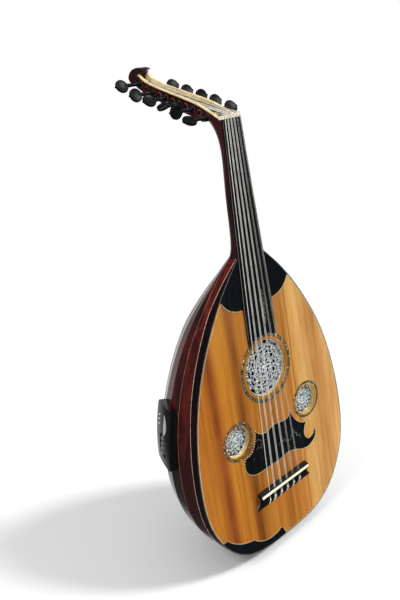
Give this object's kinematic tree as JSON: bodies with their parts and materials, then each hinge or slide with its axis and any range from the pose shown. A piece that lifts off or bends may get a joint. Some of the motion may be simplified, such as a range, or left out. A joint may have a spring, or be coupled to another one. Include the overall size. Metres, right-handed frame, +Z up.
{
  "type": "oud",
  "caption": "Short-necked pear-shaped lute with a deep ribbed bowl, bent-back pegbox with turning pegs, carved sound roses and a pickup panel with sliders.",
  "frame": {"origin": "on the centre line at the nut, in the plane of the soundboard's outer face", "axes": "+Z up the neck towards the pegbox, +Y back into the bowl, +X to the right of a person looking at the soundboard"},
  "size_m": [0.3418, 0.2113, 0.7921],
  "materials": {
    "spruce": "satin",
    "dark_red_wood": "gloss",
    "walnut_band": "gloss",
    "ebony": "satin",
    "inner_wood": "matt",
    "maple_strip": "satin",
    "bone": "satin",
    "rose_bone": "satin",
    "mosaic": "satin",
    "nylon": "satin",
    "wound_wire": "satin",
    "black_plastic": "gloss",
    "display_glass": "gloss",
    "lamp_plastic": "gloss",
    "slider_plastic": "satin",
    "battery_case": "satin",
    "nickel": "gloss",
    "pickup_plastic": "matt"
  },
  "bodies": {
    "oud_body": {"side_bands": "walnut_band", "rib_centre": "dark_red_wood", "rib_pair_1": "dark_red_wood", "rib_pair_2": "dark_red_wood", "rib_pair_3": "dark_red_wood", "rib_pair_4": "dark_red_wood", "rib_pair_5": "dark_red_wood", "rib_pair_6": "dark_red_wood", "rib_pair_7": "dark_red_wood", "rib_pair_8": "dark_red_wood", "end_clasp": "dark_red_wood", "neck_block": "inner_wood", "tail_block": "inner_wood", "soundboard": "spruce", "soundboard_braces": "inner_wood", "soundboard_binding": "ebony", "main_rose": "rose_bone", "small_rose_left": "rose_bone", "small_rose_right": "rose_bone", "rose_rings": "mosaic", "fingerboard": "ebony", "upper_guard_left": "ebony", "upper_guard_right": "ebony", "lower_guard": "ebony", "arm_guard": "ebony", "bridge": "ebony", "bridge_strip": "bone", "neck": "dark_red_wood", "nut": "bone", "pegbox_cheek_left": "dark_red_wood", "pegbox_cheek_right": "dark_red_wood", "pegbox_back": "dark_red_wood", "pegbox_finial": "dark_red_wood", "pegbox_edge_strips": "maple_strip", "plain_strings": "nylon", "wound_strings": "wound_wire", "preamp_panel": "black_plastic", "preamp_display": "display_glass", "preamp_lamps": "lamp_plastic", "preamp_case": "pickup_plastic", "battery": "battery_case", "output_jack": "nickel", "pickup_strip": "pickup_plastic"},
    "tuning_peg_01": {"peg_01": "ebony"},
    "tuning_peg_02": {"peg_02": "ebony"},
    "tuning_peg_03": {"peg_03": "ebony"},
    "tuning_peg_04": {"peg_04": "ebony"},
    "tuning_peg_05": {"peg_05": "ebony"},
    "tuning_peg_06": {"peg_06": "ebony"},
    "tuning_peg_07": {"peg_07": "ebony"},
    "tuning_peg_08": {"peg_08": "ebony"},
    "tuning_peg_09": {"peg_09": "ebony"},
    "tuning_peg_10": {"peg_10": "ebony"},
    "tuning_peg_11": {"peg_11": "ebony"},
    "tone_slider_1": {"preamp_slider_1": "slider_plastic"},
    "tone_slider_2": {"preamp_slider_2": "slider_plastic"},
    "tone_slider_3": {"preamp_slider_3": "slider_plastic"},
    "tone_slider_4": {"preamp_slider_4": "slider_plastic"}
  },
  "joints": [
    {"name": "peg_01_turn", "type": "hinge", "parent": "oud_body", "child": "tuning_peg_01", "pos_m": [0, 0.029, 0.00561], "axis": [-1, 0, 0], "continuous": true},
    {"name": "peg_02_turn", "type": "hinge", "parent": "oud_body", "child": "tuning_peg_02", "pos_m": [0, 0.058, 0.01952], "axis": [-1, 0, 0], "continuous": true},
    {"name": "peg_03_turn", "type": "hinge", "parent": "oud_body", "child": "tuning_peg_03", "pos_m": [0, 0.086, 0.02995], "axis": [-1, 0, 0], "continuous": true},
    {"name": "peg_04_turn", "type": "hinge", "parent": "oud_body", "child": "tuning_peg_04", "pos_m": [0, 0.115, 0.04056], "axis": [-1, 0, 0], "continuous": true},
    {"name": "peg_05_turn", "type": "hinge", "parent": "oud_body", "child": "tuning_peg_05", "pos_m": [0, 0.144, 0.05154], "axis": [-1, 0, 0], "continuous": true},
    {"name": "peg_06_turn", "type": "hinge", "parent": "oud_body", "child": "tuning_peg_06", "pos_m": [0, 0.173, 0.06773], "axis": [-1, 0, 0], "continuous": true},
    {"name": "peg_07_turn", "type": "hinge", "parent": "oud_body", "child": "tuning_peg_07", "pos_m": [0, 0.0435, 0.01321], "axis": [1, 0, 0], "continuous": true},
    {"name": "peg_08_turn", "type": "hinge", "parent": "oud_body", "child": "tuning_peg_08", "pos_m": [0, 0.072, 0.02487], "axis": [1, 0, 0], "continuous": true},
    {"name": "peg_09_turn", "type": "hinge", "parent": "oud_body", "child": "tuning_peg_09", "pos_m": [0, 0.1005, 0.03523], "axis": [1, 0, 0], "continuous": true},
    {"name": "peg_10_turn", "type": "hinge", "parent": "oud_body", "child": "tuning_peg_10", "pos_m": [0, 0.1295, 0.04593], "axis": [1, 0, 0], "continuous": true},
    {"name": "peg_11_turn", "type": "hinge", "parent": "oud_body", "child": "tuning_peg_11", "pos_m": [0, 0.1585, 0.05815], "axis": [1, 0, 0], "continuous": true},
    {"name": "tone_slider_1_slide", "type": "slide", "parent": "oud_body", "child": "tone_slider_1", "axis": [-0.3702, -0.9278, -0.0457], "range_m": [-0.008, 0.008]},
    {"name": "tone_slider_2_slide", "type": "slide", "parent": "oud_body", "child": "tone_slider_2", "axis": [-0.3702, -0.9278, -0.0457], "range_m": [-0.008, 0.008]},
    {"name": "tone_slider_3_slide", "type": "slide", "parent": "oud_body", "child": "tone_slider_3", "axis": [-0.3702, -0.9278, -0.0457], "range_m": [-0.008, 0.008]},
    {"name": "tone_slider_4_slide", "type": "slide", "parent": "oud_body", "child": "tone_slider_4", "axis": [-0.3702, -0.9278, -0.0457], "range_m": [-0.008, 0.008]}
  ]
}
